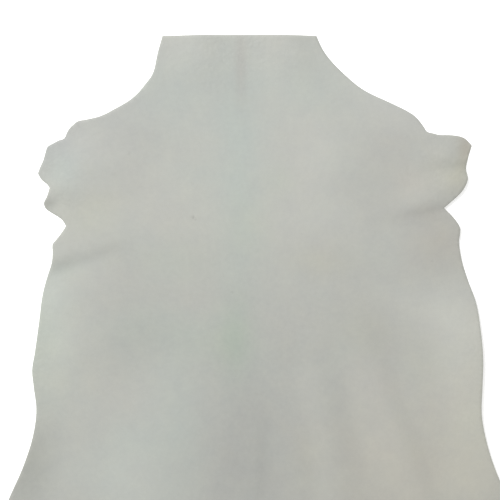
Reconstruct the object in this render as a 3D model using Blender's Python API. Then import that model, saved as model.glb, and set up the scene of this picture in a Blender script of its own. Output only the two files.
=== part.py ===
"""A raw leather hide: one whole cattle skin, tanned, dried and left unfinished.

It lies grain side up, neck towards +Y. Its middle is flat on the floor. Soft folds
stand up in the neck, the shanks and the bellies, where a skin is never quite flat.
"""

import math

import bmesh
import bpy
import numpy as np
from mathutils import Vector
from mathutils.geometry import delaunay_2d_cdt

# All sizes are in millimetres, and are turned to metres as the mesh is made.
MM = 0.001

LEATHER_THICKNESS = 2.0

# Spacing of the mesh's points: along the cut edge, over the back, and where the hide bends.
RIM_PITCH = 24.0
BACK_PITCH = 60.0
FOLD_PITCH = BACK_PITCH / 2
RIM_CLEARANCE = 0.5 * FOLD_PITCH
# A grid point is doubled up where the hide bends more than this within a fold pitch.
BEND_LIMIT = 0.8
CREST_STEPS = 24

LEATHER_COLOUR = (0.46, 0.475, 0.44, 1.0)
LEATHER_ROUGHNESS = 0.72
SHARP_EDGE = math.radians(40)

# The cut edge, anticlockwise as the hide is seen from above, from the left corner of the neck.
# Each run is one smooth curve between two corners, through points of (across, down):
# across is to the right of the middle of the back, and down is from the neck's cut to the tail.
OUTLINE_RUNS = {
    "left neck and shoulder": (
        (-350, 0), (-368, 64), (-394, 160), (-418, 192), (-444, 224), (-480, 256),
        (-534, 288), (-597, 320), (-662, 336), (-690, 342),
    ),
    "left fore shank, step": ((-690, 342), (-720, 368), (-742, 410)),
    "left fore shank, front": ((-742, 410), (-764, 418), (-810, 444)),
    "left fore shank, end": ((-810, 444), (-817, 464), (-826, 496), (-840, 528), (-848, 550)),
    "left fore shank, back": (
        (-848, 550), (-832, 576), (-811, 592), (-800, 608), (-810, 640), (-824, 672),
        (-818, 688), (-798, 704), (-750, 736), (-735, 760),
    ),
    "left armpit": ((-735, 760), (-742, 772), (-788, 834)),
    "left belly and flank": (
        (-788, 834), (-789, 896), (-809, 960), (-826, 1024), (-843, 1144), (-861, 1272),
        (-871, 1336), (-865, 1400), (-854, 1496), (-865, 1592), (-904, 1720), (-962, 1852),
        (-1004, 1968),
    ),
    "left hind shank, end": ((-1004, 1968), (-1012, 2016), (-1000, 2068), (-972, 2120)),
    "rump": (
        (-972, 2120), (-890, 2160), (-780, 2198), (-580, 2292), (-440, 2348), (-220, 2398),
        (32, 2420), (290, 2404), (504, 2360), (648, 2308), (800, 2238), (940, 2188),
        (1056, 2132),
    ),
    "right hind shank, end": ((1056, 2132), (1084, 2080), (1096, 2024), (1084, 1972)),
    "right flank and belly": (
        (1084, 1972), (1034, 1856), (986, 1752), (946, 1632), (924, 1516), (926, 1400),
        (929, 1300), (920, 1180), (900, 1060), (870, 976), (842, 880), (834, 820),
        (838, 768), (819, 736), (774, 688),
    ),
    "right fore shank, back": (
        (774, 688), (811, 656), (844, 624), (863, 592), (869, 572), (862, 536), (869, 496),
        (886, 438),
    ),
    "right fore shank, front": ((886, 438), (858, 410), (795, 397), (756, 396), (706, 382)),
    "right shoulder and neck": (
        (706, 382), (686, 352), (658, 320), (634, 304), (570, 272), (442, 208), (367, 144),
        (308, 80), (287, 48), (265, 0),
    ),
    "neck cut": ((265, 0), (40, -4), (-150, -3), (-350, 0)),
}

# The folds that stand up from the floor. Each crest is a soft line through three points of
# (across, down, height). The fold runs out to nothing at the widths to the crest's left and
# right, as they are seen from above along the crest from its first point to its last, and
# blends from one width to the other round the crest's ends.
FOLDS = {
    "neck, left": {
        "crest": ((-190, -10, 10), (-194, 70, 8), (-206, 250, 0)),
        "left": 120,
        "right": 150,
    },
    "neck, right": {
        "crest": ((166, -10, 9), (176, 60, 7), (210, 230, 0)),
        "left": 110,
        "right": 150,
    },
    "left shoulder swell": {
        "crest": ((-660, 720, 0), (-650, 520, 15), (-600, 350, 0)),
        "left": 170,
        "right": 300,
    },
    "left shank roll": {
        "crest": ((-836, 620, 9), (-780, 616, 6), (-690, 604, 0)),
        "left": 64,
        "right": 56,
    },
    "left armpit fold": {
        "crest": ((-796, 888, 12), (-640, 846, 7), (-420, 780, 0)),
        "left": 190,
        "right": 56,
    },
    "left belly swell": {
        "crest": ((-700, 1090, 12), (-670, 1250, 16), (-720, 1500, 0)),
        "left": 300,
        "right": 170,
    },
    "left flank curl": {
        "crest": ((-880, 1460, 0), (-950, 1740, 18), (-1020, 1990, 20)),
        "left": 200,
        "right": 190,
    },
    "left rump fold": {
        "crest": ((-440, 1300, 0), (-330, 1700, 16), (-380, 2200, 12)),
        "left": 420,
        "right": 280,
    },
    "right rump fold": {
        "crest": ((200, 1190, 0), (292, 1480, 11), (400, 2220, 10)),
        "left": 130,
        "right": 100,
    },
    "right flank fold": {
        "crest": ((400, 1060, 0), (545, 1488, 14), (760, 2040, 12)),
        "left": 100,
        "right": 150,
    },
    "right hind shank fold": {
        "crest": ((1110, 2056, 18), (960, 2016, 12), (800, 1916, 0)),
        "left": 120,
        "right": 120,
    },
    "right belly curl": {
        "crest": ((900, 1130, 12), (925, 1330, 18), (1000, 1780, 13)),
        "left": 200,
        "right": 240,
    },
    "right armpit fold": {
        "crest": ((850, 720, 11), (720, 715, 10), (480, 740, 0)),
        "left": 300,
        "right": 230,
    },
    "right shank roll": {
        "crest": ((872, 584, 8), (740, 630, 6), (580, 680, 0)),
        "left": 76,
        "right": 100,
    },
    "right shank front": {
        "crest": ((790, 400, 3), (786, 480, 9), (770, 570, 0)),
        "left": 100,
        "right": 150,
    },
    "right shoulder swell": {
        "crest": ((420, 276, 0), (360, 516, 13), (330, 836, 0)),
        "left": 280,
        "right": 220,
    },
}


def smooth_run(points):
    """The curve through a run's points, with its last point left to the next run."""
    knots = [Vector(p) for p in points]
    knots.insert(0, 2 * knots[0] - knots[1])
    knots.append(2 * knots[-1] - knots[-2])
    curve = []
    for before, here, there, after in zip(knots, knots[1:], knots[2:], knots[3:]):
        steps = max(1, round((there - here).length / RIM_PITCH))
        curve += [curve_point(before, here, there, after, step / steps) for step in range(steps)]
    return curve


def curve_point(before, here, there, after, share):
    """A point on the curve from here to there, whose span is shaped by its neighbours."""
    span = (there - here).length
    leaving = direction(before, here, there) * span
    reaching = direction(here, there, after) * span
    squared, cubed = share**2, share**3
    return (
        here * (2 * cubed - 3 * squared + 1)
        + there * (3 * squared - 2 * cubed)
        + leaving * (cubed - 2 * squared + share)
        + reaching * (cubed - squared)
    )


def direction(before, here, after):
    """The curve's direction at here. The nearer neighbour counts for more."""
    back, ahead = (here - before).length, (after - here).length
    return ((here - before) / back * ahead + (after - here) / ahead * back) / (back + ahead)


def cut_edge():
    """The cut edge as a closed ring of (x, y), in millimetres from the neck cut's middle."""
    ring = [point for run in OUTLINE_RUNS.values() for point in smooth_run(run)]
    return np.array([(across, -down) for across, down in ring])


def crest_line(crest):
    """A fold's crest as close points of (x, y, height), curved through its three points."""
    first, middle, last = (np.array((x, -down, height), float) for x, down, height in crest)
    line = []
    for share in np.linspace(0, 1, CREST_STEPS):
        ends = first * (1 - share) * (1 - 2 * share) + last * share * (2 * share - 1)
        line.append(ends + middle * 4 * share * (1 - share))
        low = first[2] if share < 0.5 else last[2]
        line[-1][2] = middle[2] + (low - middle[2]) * (0.5 + 0.5 * math.cos(2 * math.pi * share))
    return np.array(line)


def fold_height(fold, points):
    """How far one fold lifts each (x, y) point off the floor."""
    line = crest_line(fold["crest"])
    nearest = np.full(len(points), np.inf)
    height = np.zeros(len(points))
    for start, end in zip(line, line[1:]):
        run = end[:2] - start[:2]
        share = np.clip((points - start[:2]) @ run / (run @ run), 0, 1)
        gap = points - start[:2] - share[:, None] * run
        distance = np.linalg.norm(gap, axis=1)
        side = run[0] * gap[:, 1] - run[1] * gap[:, 0]
        lean = side / (np.linalg.norm(run) * np.maximum(distance, 1e-9))
        width = (fold["left"] + fold["right"] + lean * (fold["left"] - fold["right"])) / 2
        top = start[2] + share * (end[2] - start[2])
        lift = top * (0.5 + 0.5 * np.cos(np.pi * np.minimum(distance / width, 1)))
        closer = distance < nearest
        height[closer] = lift[closer]
        nearest[closer] = distance[closer]
    return height


def floor_gap(points):
    """The gap under the hide at each point: the sum of the folds that reach it."""
    return sum(fold_height(fold, points) for fold in FOLDS.values())


def bend(points):
    """How far the hide leaves a straight line at each point, within a fold pitch each way."""
    here = floor_gap(points)
    steps = np.array([(FOLD_PITCH, 0.0), (0.0, FOLD_PITCH)])
    return max_of(np.abs(here - (floor_gap(points + s) + floor_gap(points - s)) / 2) for s in steps)


def max_of(arrays):
    """The largest value at each place in several arrays."""
    return np.max(list(arrays), axis=0)


def inside_points(ring):
    """A triangular grid of points within the ring, twice as fine where the hide bends."""
    low, high = ring.min(axis=0), ring.max(axis=0)
    row_gap = FOLD_PITCH * math.sqrt(3) / 2
    grid = []
    for row in range(int((high[1] - low[1]) / row_gap) + 1):
        for column in range(int((high[0] - low[0]) / FOLD_PITCH) + 1):
            x = low[0] + (column + 0.5 * (row % 2)) * FOLD_PITCH
            on_back_grid = row % 2 == 0 and (column + row // 2) % 2 == 0
            grid.append((x, low[1] + row * row_gap, on_back_grid))
    grid = np.array(grid)
    places = grid[:, :2]
    kept = (grid[:, 2] > 0) | (bend(places) > BEND_LIMIT)
    return places[kept & within(ring, places) & (rim_distance(ring, places) > RIM_CLEARANCE)]


def within(ring, points):
    """Whether each point lies inside the ring, by counting the edges to its right."""
    crossings = np.zeros(len(points), int)
    for start, end in zip(ring, np.roll(ring, -1, axis=0)):
        spans = (start[1] > points[:, 1]) != (end[1] > points[:, 1])
        rise = end[1] - start[1] if end[1] != start[1] else 1.0
        edge_x = start[0] + (points[:, 1] - start[1]) / rise * (end[0] - start[0])
        crossings += spans & (points[:, 0] < edge_x)
    return crossings % 2 == 1


def rim_distance(ring, points):
    """How far each point is from the ring's nearest edge."""
    best = np.full(len(points), np.inf)
    for start, end in zip(ring, np.roll(ring, -1, axis=0)):
        run = end - start
        share = np.clip((points - start) @ run / (run @ run), 0, 1)
        best = np.minimum(best, np.linalg.norm(points - start - share[:, None] * run, axis=1))
    return best


def flesh_side():
    """The underside as an open mesh, flat on the floor and lifted where the folds are."""
    ring = cut_edge()
    middle = (ring.min(axis=0) + ring.max(axis=0)) / 2
    points = np.concatenate([ring, inside_points(ring)])
    rim_edges = [(i, (i + 1) % len(ring)) for i in range(len(ring))]
    flat = delaunay_2d_cdt([Vector(p) for p in points], rim_edges, [], 1, 1e-6)
    places = np.array([tuple(p) for p in flat[0]])
    heights = floor_gap(places)
    corners = np.column_stack([places - middle, heights]) * MM
    mesh = bpy.data.meshes.new("hide")
    mesh.from_pydata(corners.tolist(), [], flat[2])
    face_up(mesh)
    return mesh


def face_up(mesh):
    """Turns every face's normal towards +Z, so that the thickness is built upwards."""
    work = bmesh.new()
    work.from_mesh(mesh)
    for face in work.faces:
        if face.normal.z < 0:
            face.normal_flip()
    work.to_mesh(mesh)
    work.free()


def leather():
    """Pale grey-green leather, dull all over."""
    material = bpy.data.materials.new("hide_leather")
    material.use_nodes = True
    surface = material.node_tree.nodes["Principled BSDF"]
    surface.inputs["Base Color"].default_value = LEATHER_COLOUR
    surface.inputs["Roughness"].default_value = LEATHER_ROUGHNESS
    surface.inputs["Metallic"].default_value = 0.0
    return material


def make_hide():
    """The hide as one solid, its grain side one thickness above its flesh side."""
    mesh = flesh_side()
    mesh.materials.append(leather())
    mesh.shade_smooth()
    mesh.set_sharp_from_angle(angle=SHARP_EDGE)
    hide = bpy.data.objects.new("hide", mesh)
    bpy.context.scene.collection.objects.link(hide)
    body = hide.modifiers.new("thickness", "SOLIDIFY")
    body.thickness = LEATHER_THICKNESS * MM
    body.offset = 1.0
    body.use_even_offset = True
    return hide


for leftover in list(bpy.data.objects):
    bpy.data.objects.remove(leftover)
make_hide()
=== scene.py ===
"""A raw leather hide, lying grain side up on a white floor and seen from straight above."""

import math

import bpy
import numpy as np
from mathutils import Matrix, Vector, noise
from mathutils.bvhtree import BVHTree
from mathutils.geometry import delaunay_2d_cdt


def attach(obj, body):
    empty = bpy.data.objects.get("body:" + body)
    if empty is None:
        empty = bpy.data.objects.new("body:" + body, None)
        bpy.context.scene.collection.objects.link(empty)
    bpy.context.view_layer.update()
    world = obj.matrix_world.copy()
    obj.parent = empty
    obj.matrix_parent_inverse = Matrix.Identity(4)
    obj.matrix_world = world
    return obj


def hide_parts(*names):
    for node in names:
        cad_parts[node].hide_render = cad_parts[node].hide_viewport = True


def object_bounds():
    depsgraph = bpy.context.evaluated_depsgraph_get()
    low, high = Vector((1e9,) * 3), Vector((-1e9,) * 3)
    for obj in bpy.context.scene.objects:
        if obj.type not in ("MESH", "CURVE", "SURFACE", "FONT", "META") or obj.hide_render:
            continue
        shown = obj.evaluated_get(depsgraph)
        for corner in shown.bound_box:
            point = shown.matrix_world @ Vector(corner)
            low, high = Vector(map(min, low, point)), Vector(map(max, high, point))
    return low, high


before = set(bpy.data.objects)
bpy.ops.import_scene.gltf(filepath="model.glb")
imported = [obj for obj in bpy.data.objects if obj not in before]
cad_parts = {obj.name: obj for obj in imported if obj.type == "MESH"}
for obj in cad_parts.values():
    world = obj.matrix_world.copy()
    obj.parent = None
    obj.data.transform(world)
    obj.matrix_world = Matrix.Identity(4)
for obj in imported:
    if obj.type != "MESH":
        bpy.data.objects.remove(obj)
cad_low, cad_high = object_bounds()


# The floor. A smooth white studio floor, much wider than the hide, which lies loose on it.
# Its matt paint glows a little, so that it stays white all round the hide.
MM = 0.001
FLOOR_HALF = 30.0
FLOOR_GAP = 0.3 * MM
FLOOR_PAINT = {
    "Base Color": (0.9, 0.9, 0.9, 1.0),
    "Roughness": 0.9,
    "Specular IOR Level": 0.1,
    "Emission Color": (1.0, 1.0, 1.0, 1.0),
    "Emission Strength": 0.35,
}

floor_mesh = bpy.data.meshes.new("floor")
corners = [(x * FLOOR_HALF, y * FLOOR_HALF, 0) for x, y in ((-1, -1), (1, -1), (1, 1), (-1, 1))]
floor_mesh.from_pydata(corners, [], [(0, 1, 2, 3)])
floor_paint = bpy.data.materials.new("floor_paint")
floor_paint.use_nodes = True
for name, value in FLOOR_PAINT.items():
    floor_paint.node_tree.nodes["Principled BSDF"].inputs[name].default_value = value
floor_mesh.materials.append(floor_paint)
floor = bpy.data.objects.new("floor", floor_mesh)
floor.location.z = cad_low.z - FLOOR_GAP
bpy.context.scene.collection.objects.link(floor)


# The hide. One whole cattle skin, tanned pale and left unfinished, cut round with a knife and
# dried flat, so that its neck, shanks and bellies keep soft folds. Its cut edge and its folds
# come from the frame, and what is too fine for the frame's solid is pressed into it here.

# Places on the hide are (across, down) in millimetres: across is to the right of the middle of
# the back, and down is from the corners of the neck's cut. Both are 0 at (BACK_X, NECK_Y). The
# hide reaches furthest left at its hind shank, and the neck's cut bows past its corners.
LEFT_REACH = 1012 * MM
NECK_BOW = 4 * MM
BACK_X = cad_low.x + LEFT_REACH
NECK_Y = cad_high.y - NECK_BOW

LEATHER_THICKNESS = 2.0 * MM

# How far apart the mesh's points are inside the hide, along its cut edge, and between the two.
SHEET_PITCH = 11.5 * MM
RIM_PITCH = 9.0 * MM
RIM_CLEARANCE = 0.6 * RIM_PITCH

# The frame's faces that look down at least this much are its flesh side. A turn that is sharper
# than SHARP_CORNER is a corner that the knife cut, and the rest of the cut is one curve.
LOOKS_DOWN = -0.5
SHARP_CORNER = math.radians(48)

# The frame's folds are read on a square grid of this pitch, and then smoothed over this width.
MAP_PITCH = 7.0 * MM
MAP_BLUR = 9.0 * MM

# The cut edge bulges by this much at these shares of the thickness.
RIM_BULGE = 0.4 * MM
RIM_ROUNDS = (0.2, 0.8)

# Each crease is a line through (across, down). It moves the leather by "height", and less out to
# "width" on each side, all in millimetres. It is deepest at its first point and ends at its last.
CREASES = (
    {"line": ((780, 694), (700, 708), (620, 726), (520, 746)), "width": 32, "height": -2.7},
    {"line": ((-800, 958), (-640, 900), (-500, 844), (-440, 818)), "width": 34, "height": -1.3},
    {"line": ((-816, 682), (-770, 672), (-720, 656)), "width": 24, "height": -1.5},
    {"line": ((880, 520), (840, 520), (770, 524)), "width": 20, "height": -1.5},
    {"line": ((-36, -20), (-34, 120), (-30, 290)), "width": 24, "height": -1.3},
    {"line": ((52, 1840), (50, 1700), (46, 1500)), "width": 30, "height": -1.0},
)

# The slight unevenness of the whole skin: how long each wave is, and how far it rises, in
# millimetres.
WAVES = (
    {"length": 260, "height": 0.9},
    {"length": 110, "height": 0.3},
    {"length": 45, "height": 0.08},
)

# Soft patches on the skin. Their "cool" and "straw" are stains where the skin took up the tan
# unevenly, and so is a little of their "tone". Most of the "tone", though, is painted light and
# shade: lighter where the side of a fold faces the lamp, darker where it faces away, in the
# creases and along the middle of the rump. Each is centred at (across, down) and reaches
# (across, down) millimetres, turned anticlockwise by "turn" degrees. "tone" is how much lighter
# it is, "cool" takes red out of it, and "straw" takes blue out of it.
STAINS_AND_SHADING = {
    "backbone": {"at": (-40, 560), "reach": (84, 700), "cool": 0.9, "straw": -0.1},
    "spine": {"at": (-50, 640), "reach": (160, 280), "cool": 0.4},
    "saddle": {"at": (0, 760), "reach": (100, 120), "straw": 0.7, "cool": 0.2},
    "neck": {"at": (-20, 60), "reach": (330, 130), "tone": 0.02},
    # Painted shade along the neck's crease and on the side of the fold beside it.
    "neck's ridge": {"at": (-36, 130), "reach": (26, 150), "tone": -0.08, "cool": -1.0},
    "neck, left of the ridge": {"at": (-75, 150), "reach": (85, 170), "tone": -0.021},
    "neck, right of the ridge": {"at": (130, 270), "reach": (100, 120), "tone": 0.016},
    "nape": {"at": (-70, 320), "reach": (180, 230), "cool": 0.35, "straw": -0.2},
    "neck, left": {"at": (-300, 210), "reach": (190, 150), "cool": 0.9},
    "neck, right": {"at": (230, 190), "reach": (180, 130), "tone": 0.02, "cool": 0.8},
    "right nape": {"at": (560, 250), "reach": (220, 110), "turn": -30, "tone": 0.07, "straw": -0.4},
    "withers": {"at": (120, 580), "reach": (430, 300), "tone": 0.045, "cool": -0.1},
    "withers, low": {"at": (100, 750), "reach": (360, 80), "tone": 0.02},
    "left withers": {"at": (-230, 700), "reach": (110, 330), "cool": -0.1, "straw": 0.2},
    "left withers, top": {"at": (-210, 550), "reach": (110, 60), "cool": 0.45},
    "right withers": {"at": (172, 344), "reach": (44, 36), "tone": 0.02},
    "right withers, low": {"at": (350, 700), "reach": (110, 80), "tone": 0.032},
    # Painted shade on the side of the left shoulder's swell that faces away from the lamp.
    "left nape": {"at": (-470, 310), "reach": (240, 150), "turn": 30, "tone": -0.035, "straw": -0.4},
    "left shoulder": {"at": (-440, 430), "reach": (160, 90), "tone": -0.042},
    "left elbow": {"at": (-620, 600), "reach": (130, 45), "tone": 0.024},
    "left shank": {"at": (-740, 540), "reach": (80, 90), "tone": 0.015, "cool": 1.0, "straw": -0.1},
    "left shank's front": {"at": (-780, 420), "reach": (110, 100), "tone": -0.075, "straw": -0.9},
    # Painted shade in the crease at the left shank's tip.
    "left shank's tip": {"at": (-808, 674), "reach": (27, 22), "tone": -0.15, "straw": 0.2},
    "left armpit": {"at": (-650, 720), "reach": (110, 90), "cool": 0.2, "straw": 1.0},
    # Painted shade along the left armpit's crease.
    "left armpit's crease": {"at": (-740, 936), "reach": (80, 34), "turn": 20, "tone": -0.04, "cool": 0.4},
    "left armpit's end": {"at": (-570, 876), "reach": (110, 40), "turn": 16, "tone": -0.022},
    "left brisket": {"at": (-552, 664), "reach": (90, 50), "tone": 0.02, "straw": 0.4},
    "left ribs": {"at": (-470, 900), "reach": (140, 120), "tone": -0.03},
    "left ribs, low": {"at": (-280, 900), "reach": (170, 90), "cool": 0.6, "straw": 0.4},
    # The lighter tone of these two is painted light, where the left belly rises towards the lamp below the
    # armpit's crease and along its edge.
    "left belly's front": {"at": (-808, 1048), "reach": (70, 110), "tone": 0.035, "straw": -0.5},
    "left belly": {"at": (-835, 1180), "reach": (125, 320), "tone": 0.08, "cool": 1.2, "straw": 0.9},
    # The darker tone here is painted shade, on the side of a fold that faces away from the lamp.
    "left back": {"at": (-420, 1170), "reach": (205, 125), "tone": -0.045, "cool": 0.6, "straw": 0.2},
    "left back, low": {"at": (-140, 1230), "reach": (130, 90), "tone": 0.01, "cool": 0.75, "straw": 0.6},
    "left back, pink": {"at": (-260, 1050), "reach": (120, 60), "cool": -0.5},
    "middle of the back": {"at": (-200, 1036), "reach": (260, 64), "tone": -0.018},
    "left loin": {"at": (-290, 1450), "reach": (110, 400), "tone": 0.018, "cool": 0.8},
    "left thigh": {"at": (-640, 1390), "reach": (150, 90), "tone": 0.045, "straw": 0.2},
    # The lighter tone here is painted light, on the side of the rump's fold that faces the lamp.
    "left rump": {"at": (-510, 1790), "reach": (250, 230), "tone": 0.074, "cool": 0.5},
    "left rump, front": {"at": (-460, 1610), "reach": (160, 90), "cool": 0.5},
    # Painted shade in the flank's corner, which faces away from the lamp.
    "left flank": {"at": (-890, 1690), "reach": (90, 170), "turn": -20, "tone": -0.13, "straw": 0.4},
    "loin": {"at": (-58, 1210), "reach": (70, 150), "tone": -0.016, "cool": 1.5, "straw": 1.2},
    # Painted shade along the valley in the middle of the rump.
    "tail root": {"at": (-12, 1650), "reach": (200, 380), "tone": -0.082, "straw": -0.3},
    "tail line": {"at": (48, 1720), "reach": (34, 260), "tone": -0.035},
    "right back": {"at": (290, 900), "reach": (130, 60), "cool": 0.1, "straw": 0.9},
    "right back, low": {"at": (205, 1264), "reach": (110, 70), "tone": -0.045},
    "right ribs": {"at": (120, 576), "reach": (70, 60), "cool": 0.4, "straw": 0.6},
    # The darker tone here is painted shade, on the side of a fold that faces away from the lamp.
    "right loin": {"at": (450, 1180), "reach": (120, 110), "tone": -0.035, "straw": 0.7},
    "right elbow": {"at": (630, 1054), "reach": (140, 70), "tone": 0.048},
    "right shank": {"at": (780, 550), "reach": (90, 80), "cool": -0.1, "straw": 1.0},
    "right shank's root": {"at": (640, 590), "reach": (70, 60), "cool": -0.6, "straw": 0.4},
    # Painted light on the top of the right shank's roll.
    "right shank's roll": {"at": (780, 560), "reach": (52, 24), "turn": 4, "tone": 0.03},
    "right shank's front": {"at": (760, 468), "reach": (42, 18), "tone": 0.03},
    "right shoulder": {"at": (690, 424), "reach": (70, 40), "tone": -0.03},
    "right shank's tip": {"at": (862, 450), "reach": (30, 60), "tone": -0.10, "cool": -1.2, "straw": 1.6},
    # Painted shade in the crease across the right shank.
    "right shank's back": {"at": (850, 520), "reach": (30, 24), "tone": -0.09, "straw": 0.8},
    "right shank's rear": {"at": (836, 572), "reach": (44, 50), "tone": -0.022, "straw": 1.3},
    "right shank's heel": {"at": (806, 628), "reach": (40, 26), "tone": -0.032},
    # Painted shade along the right armpit's crease.
    "right armpit": {"at": (706, 706), "reach": (98, 34), "turn": 4, "tone": -0.095, "cool": -0.3},
    "right armpit's end": {"at": (596, 734), "reach": (105, 32), "turn": 4, "tone": -0.045},
    # The darker tone here is painted shade, below the right armpit's crease, where the skin faces away from
    # the lamp.
    "right brisket": {"at": (770, 820), "reach": (120, 120), "tone": -0.038, "cool": -0.7, "straw": 0.6},
    # The lighter tone of these three is painted light, where the right belly and flank rise towards their
    # edge and face the lamp.
    "right belly": {"at": (880, 1240), "reach": (200, 290), "tone": 0.09, "cool": -0.1, "straw": 0.1},
    "right belly's front": {"at": (810, 1136), "reach": (190, 76), "tone": 0.06},
    "right flank": {"at": (920, 1630), "reach": (160, 420), "tone": 0.1, "straw": 1.1},
    # Painted light on the side of the thigh's fold that faces the lamp.
    "right thigh": {"at": (566, 1590), "reach": (120, 200), "tone": 0.05},
    "right thigh, front": {"at": (700, 1300), "reach": (80, 110), "straw": 0.5},
    "right thigh, pink": {"at": (500, 1400), "reach": (120, 80), "cool": -0.35},
    "right rump, inner": {"at": (225, 1700), "reach": (55, 130), "straw": 0.6},
    # Painted light on the side of a fold that faces the lamp.
    "right rump, outer": {"at": (720, 1790), "reach": (100, 80), "tone": 0.03},
    "right rump": {"at": (600, 1740), "reach": (330, 300), "tone": 0.01, "cool": -0.75, "straw": 1.1},
}

# Where the skin is thin and loose, and so dries in fine wrinkles.
LOOSE_PLACES = (
    {"at": (-40, 60), "reach": (330, 170)},
    {"at": (-760, 560), "reach": (140, 200)},
    {"at": (790, 540), "reach": (160, 190)},
    {"at": (-870, 1250), "reach": (120, 420)},
    {"at": (950, 1300), "reach": (150, 450)},
    {"at": (-970, 1960), "reach": (160, 220)},
    {"at": (1050, 2000), "reach": (160, 220)},
)

# Small marks in the grain, such as healed bites: how far each reaches, in millimetres, and how
# much darker it is, or lighter below 0.
MARKS = (
    {"at": (-228, 726), "size": 10, "depth": 0.19},
    {"at": (-216, 734), "size": 6, "depth": 0.10},
    {"at": (-484, 472), "size": 12, "depth": 0.05},
    {"at": (-540, 556), "size": 18, "depth": 0.03},
    {"at": (-684, 360), "size": 10, "depth": 0.06},
    {"at": (-72, 1024), "size": 7, "depth": 0.07},
    {"at": (-704, 1236), "size": 7, "depth": 0.06},
    {"at": (208, 792), "size": 6, "depth": 0.05},
    {"at": (728, 900), "size": 9, "depth": 0.05},
    {"at": (-660, 700), "size": 12, "depth": -0.03},
    {"at": (-612, 726), "size": 12, "depth": -0.03},
)

# The grain's plain colour, and how far one "cool" and one "straw" move its red, green and blue.
PLAIN_GRAIN = (0.3900, 0.3955, 0.3650)
COOL_SHIFT = (-0.0160, 0.0, -0.0010)
STRAW_SHIFT = (0.0020, -0.0010, -0.0145)

# The flesh side and the cut edge are each mottled between two colours.
PALE_FLESH = (0.42, 0.43, 0.38, 1.0)
WARM_FLESH = (0.47, 0.455, 0.39, 1.0)
CUT_SHADE = (0.40, 0.41, 0.36, 1.0)
CUT_FIBRE = (0.47, 0.46, 0.40, 1.0)

# Where the two sides lie in the bake map: how much of its width a metre takes, and the corner
# that each side starts from. The cut edge lies in rows along the map's top.
GRAIN_MAP = {"scale": 0.345, "corner": (0.012, 0.012)}
FLESH_MAP = {"scale": 0.112, "corner": (0.755, 0.012)}
EDGE_MAP = {"left": 0.012, "width": 0.97, "low": 0.90, "row": 0.008}


def on_hide(place):
    """The (x, y) of a place given as (across, down) in millimetres."""
    return np.array([BACK_X + place[0] * MM, NECK_Y - place[1] * MM])


def frame_underside(node):
    """The frame's flesh side: its points, its triangles, and each point's slope in x and y."""
    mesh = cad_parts[node].data
    mesh.calc_loop_triangles()
    corners = np.empty(len(mesh.loop_triangles) * 3, dtype=np.int32)
    mesh.loop_triangles.foreach_get("vertices", corners)
    places = np.empty(len(mesh.vertices) * 3)
    mesh.vertices.foreach_get("co", places)
    points, same = np.unique(np.round(places.reshape(-1, 3), 6), axis=0, return_inverse=True)
    triangles = same.ravel()[corners].reshape(-1, 3)
    facing = face_normals(points, triangles)
    below = facing[:, 2] < LOOKS_DOWN * np.linalg.norm(facing, axis=1)
    triangles = triangles[below]
    facing = point_normals(points, triangles)
    upright = np.where(facing[:, 2:] == 0, -1.0, facing[:, 2:])
    return points, triangles, -facing[:, :2] / upright


def face_normals(points, triangles):
    """Each triangle's normal, as long as twice its area."""
    a, b, c = (points[triangles[:, corner]] for corner in range(3))
    return np.cross(b - a, c - a)


def point_normals(points, triangles):
    """Each point's normal, the sum of those of the triangles around it."""
    normals = np.zeros_like(points)
    facing = face_normals(points, triangles)
    for corner in range(3):
        np.add.at(normals, triangles[:, corner], facing)
    return normals


def outer_ring(points, triangles):
    """The triangles' open edge as a ring of (x, y), anticlockwise from above."""
    steps = {(t[i], t[i - 2]) for t in triangles.tolist() for i in range(3)}
    after = {there: here for here, there in steps if (there, here) not in steps}
    start = min(after)
    ring = [start]
    while after[ring[-1]] != start:
        ring.append(after[ring[-1]])
    return points[ring, :2]


def smooth_ring(ring):
    """The ring drawn as a curve through its points, except at its sharp corners."""
    there = np.roll(ring, -1, axis=0)
    ahead, behind = there - ring, ring - np.roll(ring, 1, axis=0)
    span = np.linalg.norm(ahead, axis=1)[:, None]
    last_span = np.roll(span, 1, axis=0)
    ahead, behind = ahead / span, behind / last_span
    along = (ahead * last_span + behind * span) / (last_span + span)
    bend = np.arccos(np.clip((ahead * behind).sum(axis=1), -1, 1))[:, None]
    leaving = np.where(bend > SHARP_CORNER, ahead, along) * span
    reaching = np.roll(np.where(bend > SHARP_CORNER, behind, along), -1, axis=0) * span
    curve = []
    for i, length in enumerate(span[:, 0]):
        steps = max(1, round(length / RIM_PITCH))
        for t in np.arange(steps) / steps:
            curve.append(
                ring[i] * (2 * t**3 - 3 * t**2 + 1)
                + there[i] * (3 * t**2 - 2 * t**3)
                + leaving[i] * (t**3 - 2 * t**2 + t)
                + reaching[i] * (t**3 - t**2)
            )
    return np.array(curve)


def height_map(points, triangles, slopes):
    """The flesh side's height on a fine square grid, with the frame's facets smoothed away."""
    tree = BVHTree.FromPolygons(points.tolist(), triangles.tolist())
    columns = int((cad_high.x - cad_low.x) / MAP_PITCH) + 3
    rows = int((cad_high.y - cad_low.y) / MAP_PITCH) + 3
    heights, covered = np.zeros((rows, columns)), np.zeros((rows, columns))
    for row in range(rows):
        for column in range(columns):
            x, y = cad_low.x + (column - 1) * MAP_PITCH, cad_low.y + (row - 1) * MAP_PITCH
            face = tree.ray_cast(Vector((x, y, -1.0)), Vector((0, 0, 1)))[2]
            if face is not None:
                heights[row, column] = rounded_height(points, slopes, triangles[face], x, y)
                covered[row, column] = 1.0
    return blur(heights) / np.maximum(blur(covered), 1e-9)


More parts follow.
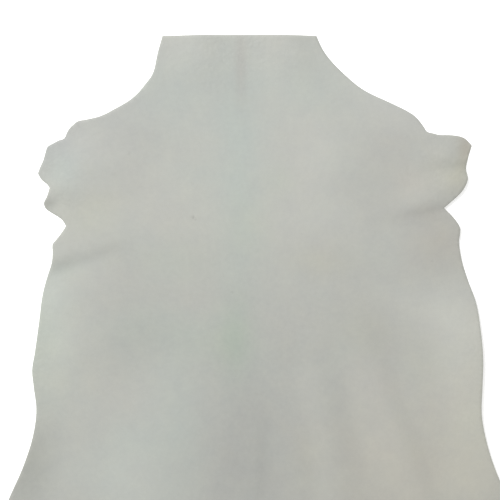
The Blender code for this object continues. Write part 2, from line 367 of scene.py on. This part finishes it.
def rounded_height(points, slopes, corners, x, y):
    """The height within one facet, bent to suit the slopes at its three corners."""
    (ax, ay, _), (bx, by, _), (cx, cy, _) = points[corners]
    area = (by - cy) * (ax - cx) + (cx - bx) * (ay - cy)
    share_a = ((by - cy) * (x - cx) + (cx - bx) * (y - cy)) / area
    share_b = ((cy - ay) * (x - cx) + (ax - cx) * (y - cy)) / area
    shares = (share_a, share_b, 1 - share_a - share_b)
    height = 0.0
    for share, (px, py, pz), (sx, sy) in zip(shares, points[corners], slopes[corners]):
        height += share * (pz + (sx * (x - px) + sy * (y - py)) / 2)
    return height


def blur(grid):
    """The grid smoothed by a bell curve, along its rows and then its columns."""
    reach = math.ceil(3 * MAP_BLUR / MAP_PITCH)
    bell = np.exp(-0.5 * (np.arange(-reach, reach + 1) * MAP_PITCH / MAP_BLUR) ** 2)
    bell /= bell.sum()
    for axis in (0, 1):
        grid = np.apply_along_axis(np.convolve, axis, grid, bell, mode="same")
    return grid


def read_map(grid, points):
    """The grid's value at each (x, y), blended between its four nearest points."""
    column = (points[:, 0] - cad_low.x) / MAP_PITCH + 1
    row = (points[:, 1] - cad_low.y) / MAP_PITCH + 1
    left, low = np.floor(column).astype(int), np.floor(row).astype(int)
    across, up = column - left, row - low
    lower = grid[low, left] * (1 - across) + grid[low, left + 1] * across
    upper = grid[low + 1, left] * (1 - across) + grid[low + 1, left + 1] * across
    return lower * (1 - up) + upper * up


def near_line(line, points):
    """Each point's distance from a line of places on the hide, and its share of the way along."""
    knots = np.array([on_hide(place) for place in line])
    lengths = np.linalg.norm(np.diff(knots, axis=0), axis=1)
    reached = np.concatenate([[0], np.cumsum(lengths)]) / lengths.sum()
    distance, share = np.full(len(points), np.inf), np.zeros(len(points))
    for i, (start, end) in enumerate(zip(knots, knots[1:])):
        run = end - start
        along = np.clip((points - start) @ run / (run @ run), 0, 1)
        gap = np.linalg.norm(points - start - along[:, None] * run, axis=1)
        closer = gap < distance
        distance[closer] = gap[closer]
        share[closer] = (reached[i] + along * (reached[i + 1] - reached[i]))[closer]
    return distance, share


def crease_height(crease, points):
    """How far one crease moves each point up or down."""
    distance, share = near_line(crease["line"], points)
    across = 0.5 + 0.5 * np.cos(np.pi * np.minimum(distance / (crease["width"] * MM), 1))
    fade = 0.5 + 0.5 * np.cos(np.pi * share)
    return crease["height"] * MM * across * fade


def wave_height(wave, points):
    """How far one scale of unevenness lifts each point. Each has its own slice of the noise."""
    places = points / (wave["length"] * MM)
    rise = np.array([noise.noise(Vector((x, y, wave["length"]))) for x, y in places])
    return wave["height"] * MM * (rise * 0.5 + 0.5)


def within(ring, points):
    """Whether each point lies inside the ring, by counting the edges to its right."""
    crossings = np.zeros(len(points), int)
    for start, end in zip(ring, np.roll(ring, -1, axis=0)):
        spans = (start[1] > points[:, 1]) != (end[1] > points[:, 1])
        rise = end[1] - start[1] if end[1] != start[1] else 1.0
        edge_x = start[0] + (points[:, 1] - start[1]) / rise * (end[0] - start[0])
        crossings += spans & (points[:, 0] < edge_x)
    return crossings % 2 == 1


def clear_of(ring, points, gap):
    """Whether each point is further than the gap from every point of the ring."""
    clear = np.ones(len(points), bool)
    for place in ring:
        clear &= np.hypot(points[:, 0] - place[0], points[:, 1] - place[1]) > gap
    return clear


def inside_points(ring):
    """An even triangular grid of points within the ring."""
    row_gap = SHEET_PITCH * math.sqrt(3) / 2
    low, high = ring.min(axis=0), ring.max(axis=0)
    rows = np.arange(int((high[1] - low[1]) / row_gap) + 1)
    columns = np.arange(int((high[0] - low[0]) / SHEET_PITCH) + 1)
    column, row = np.meshgrid(columns, rows)
    x = low[0] + (column + 0.5 * (row % 2)) * SHEET_PITCH
    grid = np.column_stack([x.ravel(), low[1] + row.ravel() * row_gap])
    grid = grid[within(ring, grid)]
    return grid[clear_of(ring, grid, RIM_CLEARANCE)]


def flat_sheet(ring):
    """The hide before it is folded: its (x, y) points, the ring's first, and its triangles."""
    points = np.concatenate([ring, inside_points(ring)])
    edges = [(i, (i + 1) % len(ring)) for i in range(len(ring))]
    inside_only, tolerance = 1, 1e-9
    made = delaunay_2d_cdt([Vector(p) for p in points], edges, [], inside_only, tolerance)
    points, triangles = np.array([tuple(p) for p in made[0]]), np.array(made[2])
    facing = face_normals(np.pad(points, ((0, 0), (0, 1))), triangles)[:, 2]
    triangles[facing < 0] = triangles[facing < 0][:, ::-1]
    return points, triangles


def patch_share(patch, points):
    """How strongly one patch shows at each point, from 0 to 1 at its middle: a stain, painted light and
    shade, or a loose place.
    """
    gap = (points[:, :2] - on_hide(patch["at"])) / MM
    turn = math.radians(patch.get("turn", 0))
    along = gap[:, 0] * math.cos(turn) + gap[:, 1] * math.sin(turn)
    beside = gap[:, 1] * math.cos(turn) - gap[:, 0] * math.sin(turn)
    return np.exp(-((along / patch["reach"][0]) ** 2) - (beside / patch["reach"][1]) ** 2)


def write_attribute(mesh, name, values):
    """Keeps one number for each point of the mesh, for its materials to read."""
    mesh.attributes.new(name, "FLOAT", "POINT").data.foreach_set("value", values)


def side_map(island, points):
    """Where each (x, y) of one side of the hide lies in the bake map."""
    low = (cad_low.x - RIM_BULGE, cad_low.y - RIM_BULGE)
    return (points - low) * island["scale"] + island["corner"]


def edge_map(ring, rows):
    """Where the corners of the cut edge's strips lie in the bake map, row after row."""
    lengths = np.linalg.norm(np.roll(ring, -1, axis=0) - ring, axis=1)
    ends = np.cumsum(lengths) / lengths.sum() * EDGE_MAP["width"] + EDGE_MAP["left"]
    starts = np.concatenate([[EDGE_MAP["left"]], ends[:-1]])
    across = np.tile(np.column_stack([starts, ends, ends, starts]), (rows, 1))
    low = EDGE_MAP["low"] + np.repeat(np.arange(rows), len(ring)) * EDGE_MAP["row"]
    high = low + EDGE_MAP["row"]
    return np.stack([across, np.column_stack([low, low, high, high])], axis=2).reshape(-1, 2)


class Link:
    """A node's output. Arithmetic on it adds Math nodes to its finish."""

    def __init__(self, finish, socket):
        self.finish = finish
        self.socket = socket

    def math(self, operation, *values):
        """A Math node of these values."""
        return self.finish.node("ShaderNodeMath", {"operation": operation}, dict(enumerate(values)))

    def __add__(self, other):
        return self.math("ADD", self, other)

    def __sub__(self, other):
        return self.math("SUBTRACT", self, other)

    def __rsub__(self, other):
        return self.math("SUBTRACT", other, self)

    def __mul__(self, other):
        return self.math("MULTIPLY", self, other)

    __radd__ = __add__
    __rmul__ = __mul__


class Finish:
    """A material, built up node by node."""

    def __init__(self, name):
        self.material = bpy.data.materials.new(name)
        self.material.use_nodes = True
        self.material.node_tree.nodes.clear()

    def node(self, kind, settings=None, values=None, output=0):
        """Adds a node: its settings first, then the value or the link of each socket."""
        node = self.material.node_tree.nodes.new(kind)
        for name, setting in (settings or {}).items():
            setattr(node, name, setting)
        for name, value in (values or {}).items():
            if isinstance(value, Link):
                self.material.node_tree.links.new(value.socket, node.inputs[name])
            else:
                node.inputs[name].default_value = value
        return Link(self, node.outputs[output])

    def place(self):
        """Where a point is on the hide, in metres."""
        return self.node("ShaderNodeTexCoord", output="Object")

    def speckle(self, size, detail=2.0):
        """Cloudy noise from -1 to 1, with blobs of this size in metres."""
        values = {"Vector": self.place(), "Scale": 1 / size, "Detail": detail}
        return self.node("ShaderNodeTexNoise", None, values) * 2 - 1

    def pebble(self, size):
        """The distance from the nearest pebble's middle, with pebbles of this size in metres."""
        values = {"Vector": self.place(), "Scale": 1 / size}
        return self.node("ShaderNodeTexVoronoi", {"feature": "SMOOTH_F1"}, values)

    def falling(self, value, reach):
        """From 1 where the value is 0 down to 0 where it is "reach" or more, in a soft curve."""
        values = {"Value": value, "From Max": reach, "To Min": 1.0, "To Max": 0.0}
        return self.node("ShaderNodeMapRange", {"interpolation_type": "SMOOTHSTEP"}, values)

    def furrow(self, size, crooked=0.7, width=0.16):
        """Fine furrows from 0 to 1, which run round crooked cells of this size in metres."""
        bend = self.node("ShaderNodeTexNoise", None, {"Vector": self.place(), "Scale": 1 / size}, "Color")
        values = {0: bend, 1: (crooked * size,) * 3, 2: self.place()}
        bent = self.node("ShaderNodeVectorMath", {"operation": "MULTIPLY_ADD"}, values)
        values = {"Vector": bent, "Scale": 1 / size}
        gap = self.node("ShaderNodeTexVoronoi", {"feature": "DISTANCE_TO_EDGE"}, values)
        return self.falling(gap, width)

    def pits(self, size, width=0.32):
        """Small round pits about this far apart in metres, 1 in the middle and 0 between them."""
        values = {"Vector": self.place(), "Scale": 1 / size}
        gap = self.node("ShaderNodeTexVoronoi", {"feature": "F1"}, values)
        return self.falling(gap, width)

    def wrinkle(self, size, steep=4):
        """Branching lines about this far apart in metres: 1 along them, less to both sides."""
        bend = self.speckle(size, 1.0)
        return 1 - bend.math("ABSOLUTE", bend) * steep

    def mark(self, mark):
        """One small ragged mark, from 0 outside to 1 in its middle."""
        flat = self.node("ShaderNodeVectorMath", {"operation": "MULTIPLY"}, {0: self.place(), 1: (1, 1, 0)})
        middle = (*on_hide(mark["at"]), 0)
        gap = self.node("ShaderNodeVectorMath", {"operation": "DISTANCE"}, {0: flat, 1: middle}, "Value")
        ragged = gap + self.speckle(0.006) * mark["size"] * MM
        return self.falling(ragged, mark["size"] * MM)

    def attribute(self, name):
        """A number that the mesh keeps at each point."""
        return self.node("ShaderNodeAttribute", {"attribute_name": name}, None, "Fac")

    def mix(self, factor, first, second):
        """Two colours mixed, from the first at 0 to the second at 1."""
        # The colour sockets go by number, since the node has others of the same names.
        values = {"Factor": factor, 6: first, 7: second}
        return self.node("ShaderNodeMix", {"data_type": "RGBA"}, values, 2)

    def shifted(self, colour, amount, shift):
        """A colour moved by some amount of a shift in red, green and blue."""
        values = {0: shift, 1: amount, 2: colour}
        return self.node("ShaderNodeVectorMath", {"operation": "MULTIPLY_ADD"}, values)

    def shaded(self, colour, shade):
        """A colour made lighter or darker."""
        values = {0: colour, "Scale": shade}
        return self.node("ShaderNodeVectorMath", {"operation": "SCALE"}, values)

    def surface(self, colour, roughness, height_mm, shine):
        """Ends the material in one surface, with its relief's height in millimetres."""
        bump = self.node("ShaderNodeBump", None, {"Height": height_mm, "Distance": MM})
        values = {"Base Color": colour, "Roughness": roughness, "Normal": bump}
        shader = self.node("ShaderNodeBsdfPrincipled", None, {**values, "Specular IOR Level": shine})
        output = self.material.node_tree.nodes.new("ShaderNodeOutputMaterial")
        self.material.node_tree.links.new(shader.socket, output.inputs["Surface"])
        return self.material


def grain_side():
    """Natural grain: a matt, pebbled skin with cloudy colour, painted light and shade over its folds, fine
    pores and a few marks.
    """
    finish = Finish("grain_side")
    cloud, blotch, mottle = finish.speckle(0.22), finish.speckle(0.07, 3.0), finish.speckle(0.018)
    fleck, pebble = finish.speckle(0.006), finish.pebble(0.0036)
    furrow, pores = finish.furrow(0.0030), finish.pits(0.0019)
    wrinkle = finish.wrinkle(0.028) * finish.attribute("loose")
    marks = sum(finish.mark(mark) * mark["depth"] for mark in MARKS)
    # The "tone" read here carries the painted light and shade of the folds, as well as the uneven tan.
    shade = 1 + finish.attribute("tone") + cloud * 0.025 + blotch * 0.05 + mottle * 0.04
    shade = shade + fleck * 0.02 - pebble * 0.035 - furrow * 0.035 - pores * 0.06
    shade = shade - wrinkle * 0.012 - marks
    colour = finish.shifted(PLAIN_GRAIN, finish.attribute("cool") + cloud * 0.5, COOL_SHIFT)
    colour = finish.shifted(colour, finish.attribute("straw") + blotch * 0.6, STRAW_SHIFT)
    relief = blotch * 0.06 - pebble * 0.16 - furrow * 0.07 - pores * 0.05
    relief = relief - wrinkle * 0.26 - marks * 1.5
    roughness = 0.72 + blotch * 0.06 + fleck * 0.06
    return finish.surface(finish.shaded(colour, shade), roughness, relief, 0.4)


def flesh_side():
    """The flesh side: a dry, fibrous nap, paler than the grain."""
    finish = Finish("flesh_side")
    cloud, nap, fibre = finish.speckle(0.12), finish.speckle(0.008, 4.0), finish.speckle(0.002)
    tint = finish.mix(cloud * 0.5 + 0.5, PALE_FLESH, WARM_FLESH)
    colour = finish.shaded(tint, cloud * 0.03 + nap * 0.10 + fibre * 0.08 + 1)
    return finish.surface(colour, 0.93 + nap * 0.04, nap * 0.25 + fibre * 0.12, 0.2)


def knife_edge():
    """The cut edge: pale, slightly frayed fibre."""
    finish = Finish("cut_edge")
    fray, fibre = finish.speckle(0.004), finish.speckle(0.0012)
    tint = finish.mix(fray * 0.5 + 0.5, CUT_SHADE, CUT_FIBRE)
    colour = finish.shaded(tint, fibre * 0.12 + 1)
    return finish.surface(colour, 0.9 + fray * 0.05, fray * 0.15 + fibre * 0.08, 0.2)


def folded_hide():
    """The cut edge's ring, the flesh side's points and triangles, and each point's way up."""
    frame_points, frame_triangles, slopes = frame_underside("hide")
    ring = smooth_ring(outer_ring(frame_points, frame_triangles))
    sheet, triangles = flat_sheet(ring)
    lift = read_map(height_map(frame_points, frame_triangles, slopes), sheet)
    lift += sum(crease_height(crease, sheet) for crease in CREASES)
    lift += sum(wave_height(wave, sheet) for wave in WAVES)
    flesh = np.column_stack([sheet, np.maximum(lift, 0)])
    up = point_normals(flesh, triangles)
    return ring, flesh, triangles, up / np.linalg.norm(up, axis=1)[:, None]


def edge_rounds(ring, flesh, up):
    """The rings of points that round the cut edge, from the flesh side up."""
    along = np.roll(ring, -1, axis=0) - np.roll(ring, 1, axis=0)
    out = np.column_stack([along[:, 1], -along[:, 0], np.zeros(len(ring))])
    out *= RIM_BULGE / np.linalg.norm(out, axis=1)[:, None]
    foot, rise = flesh[: len(ring)], up[: len(ring)] * LEATHER_THICKNESS
    return [foot + rise * share + out for share in RIM_ROUNDS]


def edge_strips(size, starts):
    """The faces between rings of points of this size, given the number that each starts at."""
    here = np.arange(size)
    ahead = np.roll(here, -1)
    return [
        np.column_stack([low + here, low + ahead, high + ahead, high + here])
        for low, high in zip(starts, starts[1:])
    ]


def write_stains_and_shading(mesh, points):
    """Keeps on the mesh how each stain, each patch of painted light and shade, and each loose place changes
    the leather there.
    """
    for part in ("tone", "cool", "straw"):
        stains_and_shading = sum(patch.get(part, 0) * patch_share(patch, points) for patch in STAINS_AND_SHADING.values())
        write_attribute(mesh, part, stains_and_shading)
    loose = [patch_share(place, points) for place in LOOSE_PLACES]
    write_attribute(mesh, "loose", np.max(loose, axis=0))


def make_hide():
    """The hide: its flesh side, its grain side, and the rounded strips of its cut edge."""
    ring, flesh, triangles, up = folded_hide()
    grain = flesh + up * LEATHER_THICKNESS
    points = np.concatenate([flesh, grain, *edge_rounds(ring, flesh, up)])
    starts = (0, 2 * len(flesh), 2 * len(flesh) + len(ring), len(flesh))
    strips = edge_strips(len(ring), starts)
    faces = [*triangles[:, ::-1].tolist(), *(triangles + len(flesh)).tolist()]
    faces += np.concatenate(strips).tolist()

    mesh = bpy.data.meshes.new("leather_hide")
    mesh.from_pydata(points.tolist(), [], faces)
    mesh.shade_smooth()
    for material in (grain_side(), flesh_side(), knife_edge()):
        mesh.materials.append(material)
    finishes = [1] * len(triangles) + [0] * len(triangles) + [2] * len(strips) * len(ring)
    mesh.polygons.foreach_set("material_index", finishes)
    write_stains_and_shading(mesh, points)

    sheet = flesh[:, :2]
    corners = [side_map(FLESH_MAP, sheet[triangles[:, ::-1].ravel()])]
    corners += [side_map(GRAIN_MAP, sheet[triangles.ravel()]), edge_map(ring, len(strips))]
    mesh.uv_layers.new(name="OFBake").data.foreach_set("uv", np.concatenate(corners).ravel())
    return bpy.data.objects.new("leather_hide", mesh)


hide = make_hide()
bpy.context.scene.collection.objects.link(hide)
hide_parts("hide")
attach(hide, "root")


# The studio. One large soft lamp stands high beyond the neck's left side, so that each fold is
# shaded on its far side. The white room lights the rest evenly.
ROOM_LIGHT = 0.70
LAMP_PLACE = Vector((-4.2, 5.0, 6.0))
LAMP_SIZE = 3.0
LAMP_POWER = 640

room = bpy.data.worlds.new("room")
room.use_nodes = True
room.node_tree.nodes["Background"].inputs["Color"].default_value = (1, 1, 1, 1)
room.node_tree.nodes["Background"].inputs["Strength"].default_value = ROOM_LIGHT
bpy.context.scene.world = room

soft_light = bpy.data.lights.new("soft_light", "AREA")
soft_light.size = LAMP_SIZE
soft_light.energy = LAMP_POWER
lamp = bpy.data.objects.new("soft_light", soft_light)
lamp.location = LAMP_PLACE
lamp.rotation_euler = (-LAMP_PLACE).to_track_quat("-Z", "Y").to_euler()
bpy.context.scene.collection.objects.link(lamp)


# The camera. It looks straight down at PICTURE_MIDDLE, a place on the hide, and its picture is
# 2 m wide on the floor.
PICTURE_WIDTH = 2.0
PICTURE_MIDDLE = (0, 856)
SENSOR = 36
FOCAL_LENGTH = 85

lens = bpy.data.cameras.new("camera")
lens.lens = FOCAL_LENGTH
lens.sensor_width = SENSOR
camera = bpy.data.objects.new("camera", lens)
camera.location = (*on_hide(PICTURE_MIDDLE), PICTURE_WIDTH * FOCAL_LENGTH / SENSOR)
bpy.context.scene.collection.objects.link(camera)
bpy.context.scene.camera = camera
bpy.context.scene.view_settings.view_transform = "Standard"
